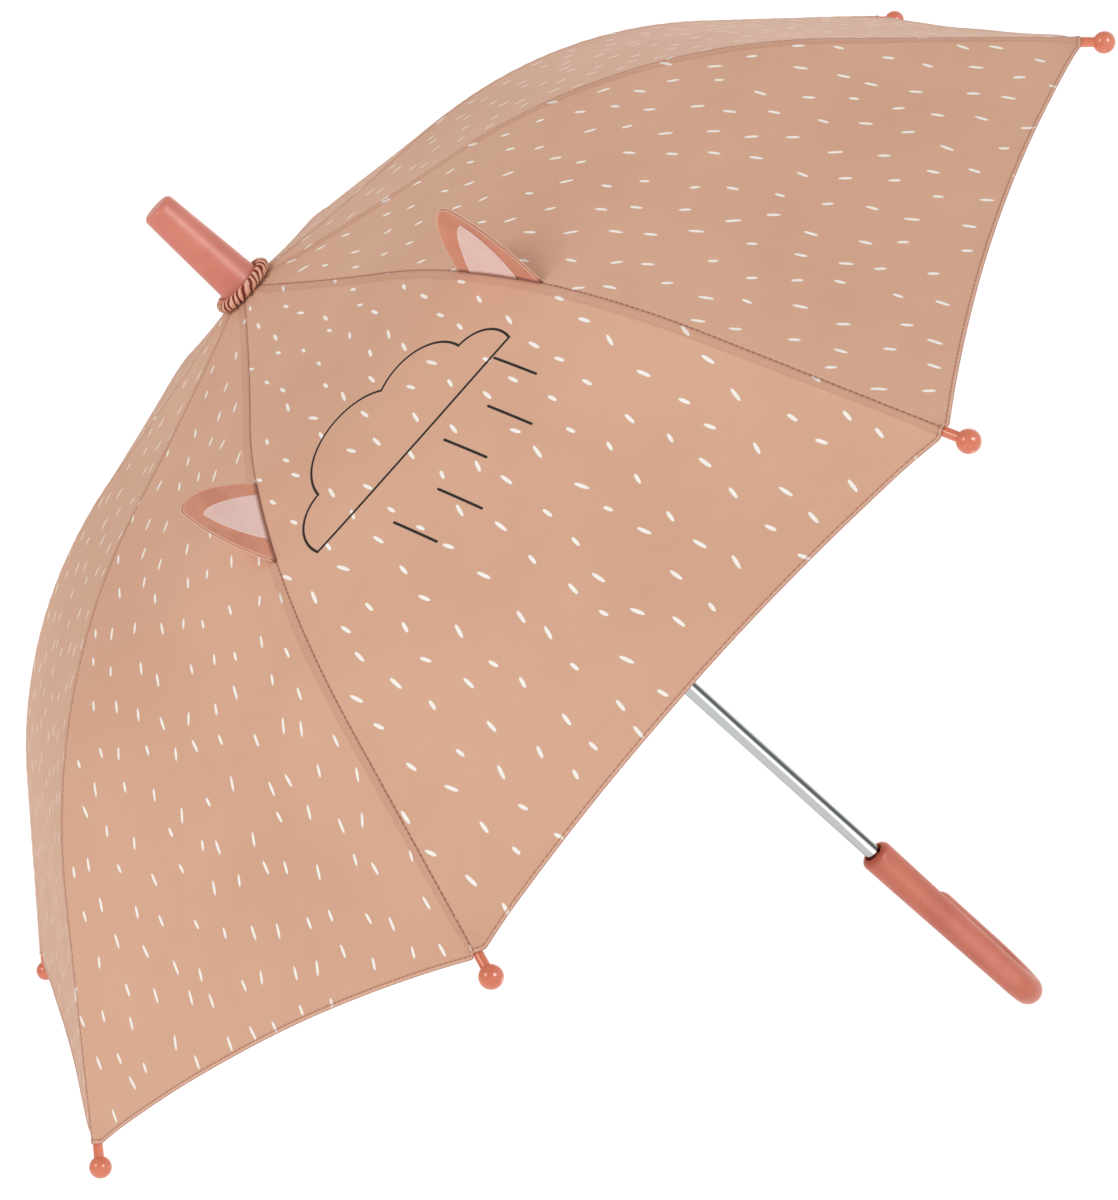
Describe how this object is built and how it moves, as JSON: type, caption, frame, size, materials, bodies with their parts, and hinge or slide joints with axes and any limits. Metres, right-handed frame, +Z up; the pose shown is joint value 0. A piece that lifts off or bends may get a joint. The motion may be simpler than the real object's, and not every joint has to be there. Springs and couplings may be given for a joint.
{
  "type": "children's stick umbrella",
  "caption": "Open stick umbrella for a child: crook handle, steel shaft, bowed ribs with ball tips, a sliding runner that folds it, and a peach canopy with two sewn-on ears.",
  "frame": {"origin": "on the shaft's axis, in the middle of the hand grip", "axes": "+Z up the shaft to the tip cap, +Y to the back, where the crook's free arm is, -Y to the front panel between the ears"},
  "size_m": [0.6754, 0.6754, 0.6193],
  "materials": {
    "chrome_tube": "bright plated",
    "rib_steel": "bright zinc",
    "wire": "drawn wire",
    "dark_plastic": "moulded, satin",
    "cap_plastic": "moulded, soft gloss",
    "handle_plastic": "moulded, satin",
    "canopy_cloth": "plain woven polyester with a printed dash pattern",
    "ear_cloth": "plain woven polyester"
  },
  "bodies": {
    "root": {"shaft_tube": "chrome_tube", "handle": "handle_plastic", "tip_cap": "cap_plastic", "rosette": "canopy_cloth", "top_washer": "dark_plastic", "notch": "dark_plastic", "notch_wire": "wire", "notch_pin": "wire", "runner_stop": "wire"},
    "open_catch": {"open_catch": "wire"},
    "closed_catch": {"closed_catch": "wire"},
    "runner": {"runner": "dark_plastic", "runner_wire": "wire"},
    "rib_1": {"rib_1": "rib_steel", "rib_tip_1": "cap_plastic", "rivet_1": "wire", "ear_right": "ear_cloth"},
    "stretcher_1": {"stretcher_1": "rib_steel"},
    "canopy_panel_1": {"canopy_panel_1": "canopy_cloth"},
    "rib_2": {"rib_2": "rib_steel", "rib_tip_2": "cap_plastic", "rivet_2": "wire", "ear_left": "ear_cloth"},
    "stretcher_2": {"stretcher_2": "rib_steel"},
    "canopy_panel_2": {"canopy_panel_2": "canopy_cloth"},
    "rib_3": {"rib_3": "rib_steel", "rib_tip_3": "cap_plastic", "rivet_3": "wire"},
    "stretcher_3": {"stretcher_3": "rib_steel"},
    "canopy_panel_3": {"canopy_panel_3": "canopy_cloth"},
    "rib_4": {"rib_4": "rib_steel", "rib_tip_4": "cap_plastic", "rivet_4": "wire"},
    "stretcher_4": {"stretcher_4": "rib_steel"},
    "canopy_panel_4": {"canopy_panel_4": "canopy_cloth"},
    "rib_5": {"rib_5": "rib_steel", "rib_tip_5": "cap_plastic", "rivet_5": "wire"},
    "stretcher_5": {"stretcher_5": "rib_steel"},
    "canopy_panel_5": {"canopy_panel_5": "canopy_cloth"},
    "rib_6": {"rib_6": "rib_steel", "rib_tip_6": "cap_plastic", "rivet_6": "wire"},
    "stretcher_6": {"stretcher_6": "rib_steel"},
    "canopy_panel_6": {"canopy_panel_6": "canopy_cloth"},
    "rib_7": {"rib_7": "rib_steel", "rib_tip_7": "cap_plastic", "rivet_7": "wire"},
    "stretcher_7": {"stretcher_7": "rib_steel"},
    "canopy_panel_7": {"canopy_panel_7": "canopy_cloth"},
    "rib_8": {"rib_8": "rib_steel", "rib_tip_8": "cap_plastic", "rivet_8": "wire"},
    "stretcher_8": {"stretcher_8": "rib_steel"},
    "canopy_panel_8": {"canopy_panel_8": "canopy_cloth"}
  },
  "joints": [
    {"name": "rib_1_fold", "type": "hinge", "parent": "root", "child": "rib_1", "pos_m": [0.00306, -0.00739, 0.469], "axis": [0.9239, 0.3827, 0], "range_deg": [0, 61], "deforming": ["canopy_panel_1", "canopy_panel_2", "canopy_panel_3", "canopy_panel_4", "canopy_panel_5", "canopy_panel_6", "canopy_panel_7", "canopy_panel_8", "open_catch", "closed_catch"]},
    {"name": "rib_2_fold", "type": "hinge", "parent": "root", "child": "rib_2", "pos_m": [-0.00306, -0.00739, 0.469], "axis": [0.9239, -0.3827, 0], "range_deg": [0, 61]},
    {"name": "rib_3_fold", "type": "hinge", "parent": "root", "child": "rib_3", "pos_m": [-0.00739, -0.00306, 0.469], "axis": [0.3827, -0.9239, 0], "range_deg": [0, 61]},
    {"name": "rib_4_fold", "type": "hinge", "parent": "root", "child": "rib_4", "pos_m": [-0.00739, 0.00306, 0.469], "axis": [-0.3827, -0.9239, 0], "range_deg": [0, 61]},
    {"name": "rib_5_fold", "type": "hinge", "parent": "root", "child": "rib_5", "pos_m": [-0.00306, 0.00739, 0.469], "axis": [-0.9239, -0.3827, 0], "range_deg": [0, 61]},
    {"name": "rib_6_fold", "type": "hinge", "parent": "root", "child": "rib_6", "pos_m": [0.00306, 0.00739, 0.469], "axis": [-0.9239, 0.3827, 0], "range_deg": [0, 61]},
    {"name": "rib_7_fold", "type": "hinge", "parent": "root", "child": "rib_7", "pos_m": [0.00739, 0.00306, 0.469], "axis": [-0.3827, 0.9239, 0], "range_deg": [0, 61]},
    {"name": "rib_8_fold", "type": "hinge", "parent": "root", "child": "rib_8", "pos_m": [0.00739, -0.00306, 0.469], "axis": [0.3827, 0.9239, 0], "range_deg": [0, 61]},
    {"name": "stretcher_1_swing", "type": "hinge", "parent": "rib_1", "child": "stretcher_1", "pos_m": [0.07214, -0.17416, 0.42911], "axis": [0.9239, 0.3827, 0], "range_deg": [-122, 0]},
    {"name": "stretcher_2_swing", "type": "hinge", "parent": "rib_2", "child": "stretcher_2", "pos_m": [-0.07214, -0.17416, 0.42911], "axis": [0.9239, -0.3827, 0], "range_deg": [-122, 0]},
    {"name": "stretcher_3_swing", "type": "hinge", "parent": "rib_3", "child": "stretcher_3", "pos_m": [-0.17416, -0.07214, 0.42911], "axis": [0.3827, -0.9239, 0], "range_deg": [-122, 0]},
    {"name": "stretcher_4_swing", "type": "hinge", "parent": "rib_4", "child": "stretcher_4", "pos_m": [-0.17416, 0.07214, 0.42911], "axis": [-0.3827, -0.9239, 0], "range_deg": [-122, 0]},
    {"name": "stretcher_5_swing", "type": "hinge", "parent": "rib_5", "child": "stretcher_5", "pos_m": [-0.07214, 0.17416, 0.42911], "axis": [-0.9239, -0.3827, 0], "range_deg": [-122, 0]},
    {"name": "stretcher_6_swing", "type": "hinge", "parent": "rib_6", "child": "stretcher_6", "pos_m": [0.07214, 0.17416, 0.42911], "axis": [-0.9239, 0.3827, 0], "range_deg": [-122, 0]},
    {"name": "stretcher_7_swing", "type": "hinge", "parent": "rib_7", "child": "stretcher_7", "pos_m": [0.17416, 0.07214, 0.42911], "axis": [-0.3827, 0.9239, 0], "range_deg": [-122, 0]},
    {"name": "stretcher_8_swing", "type": "hinge", "parent": "rib_8", "child": "stretcher_8", "pos_m": [0.17416, -0.07214, 0.42911], "axis": [0.3827, 0.9239, 0], "range_deg": [-122, 0]},
    {"name": "runner_level", "type": "hinge", "parent": "stretcher_1", "child": "runner", "pos_m": [0.00306, -0.00739, 0.38921], "axis": [0.9239, 0.3827, 0], "range_deg": [0, 61]},
    {"name": "panel_1_gather", "type": "hinge", "parent": "rib_1", "child": "canopy_panel_1", "pos_m": [0, -0.00866, 0.469], "axis": [0, -0.8784, 0.478], "range_deg": [0, 44.8]},
    {"name": "panel_2_gather", "type": "hinge", "parent": "rib_2", "child": "canopy_panel_2", "pos_m": [-0.00612, -0.00612, 0.469], "axis": [-0.6211, -0.6211, 0.478], "range_deg": [0, 44.8]},
    {"name": "panel_3_gather", "type": "hinge", "parent": "rib_3", "child": "canopy_panel_3", "pos_m": [-0.00866, 0, 0.469], "axis": [-0.8784, 0, 0.478], "range_deg": [0, 44.8]},
    {"name": "panel_4_gather", "type": "hinge", "parent": "rib_4", "child": "canopy_panel_4", "pos_m": [-0.00612, 0.00612, 0.469], "axis": [-0.6211, 0.6211, 0.478], "range_deg": [0, 44.8]},
    {"name": "panel_5_gather", "type": "hinge", "parent": "rib_5", "child": "canopy_panel_5", "pos_m": [0, 0.00866, 0.469], "axis": [0, 0.8784, 0.478], "range_deg": [0, 44.8]},
    {"name": "panel_6_gather", "type": "hinge", "parent": "rib_6", "child": "canopy_panel_6", "pos_m": [0.00612, 0.00612, 0.469], "axis": [0.6211, 0.6211, 0.478], "range_deg": [0, 44.8]},
    {"name": "panel_7_gather", "type": "hinge", "parent": "rib_7", "child": "canopy_panel_7", "pos_m": [0.00866, 0, 0.469], "axis": [0.8784, 0, 0.478], "range_deg": [0, 44.8]},
    {"name": "panel_8_gather", "type": "hinge", "parent": "rib_8", "child": "canopy_panel_8", "pos_m": [0.00612, -0.00612, 0.469], "axis": [0.6211, -0.6211, 0.478], "range_deg": [0, 44.8]},
    {"name": "open_catch_press", "type": "slide", "parent": "root", "child": "open_catch", "axis": [0, -1, 0], "range_m": [0, 0.0022], "stiffness_N_per_m": 400},
    {"name": "closed_catch_press", "type": "slide", "parent": "root", "child": "closed_catch", "axis": [0, -1, 0], "range_m": [0, 0.0022], "stiffness_N_per_m": 400}
  ],
  "couplings": [
    {"joint": "rib_2_fold", "follows": "rib_1_fold", "ratio": 1},
    {"joint": "rib_3_fold", "follows": "rib_1_fold", "ratio": 1},
    {"joint": "rib_4_fold", "follows": "rib_1_fold", "ratio": 1},
    {"joint": "rib_5_fold", "follows": "rib_1_fold", "ratio": 1},
    {"joint": "rib_6_fold", "follows": "rib_1_fold", "ratio": 1},
    {"joint": "rib_7_fold", "follows": "rib_1_fold", "ratio": 1},
    {"joint": "rib_8_fold", "follows": "rib_1_fold", "ratio": 1},
    {"joint": "stretcher_1_swing", "follows": "rib_1_fold", "ratio": -2},
    {"joint": "stretcher_2_swing", "follows": "rib_1_fold", "ratio": -2},
    {"joint": "stretcher_3_swing", "follows": "rib_1_fold", "ratio": -2},
    {"joint": "stretcher_4_swing", "follows": "rib_1_fold", "ratio": -2},
    {"joint": "stretcher_5_swing", "follows": "rib_1_fold", "ratio": -2},
    {"joint": "stretcher_6_swing", "follows": "rib_1_fold", "ratio": -2},
    {"joint": "stretcher_7_swing", "follows": "rib_1_fold", "ratio": -2},
    {"joint": "stretcher_8_swing", "follows": "rib_1_fold", "ratio": -2},
    {"joint": "runner_level", "follows": "rib_1_fold", "ratio": 1},
    {"joint": "panel_1_gather", "follows": "rib_1_fold", "ratio": 0.7344},
    {"joint": "panel_2_gather", "follows": "rib_1_fold", "ratio": 0.7344},
    {"joint": "panel_3_gather", "follows": "rib_1_fold", "ratio": 0.7344},
    {"joint": "panel_4_gather", "follows": "rib_1_fold", "ratio": 0.7344},
    {"joint": "panel_5_gather", "follows": "rib_1_fold", "ratio": 0.7344},
    {"joint": "panel_6_gather", "follows": "rib_1_fold", "ratio": 0.7344},
    {"joint": "panel_7_gather", "follows": "rib_1_fold", "ratio": 0.7344},
    {"joint": "panel_8_gather", "follows": "rib_1_fold", "ratio": 0.7344}
  ]
}
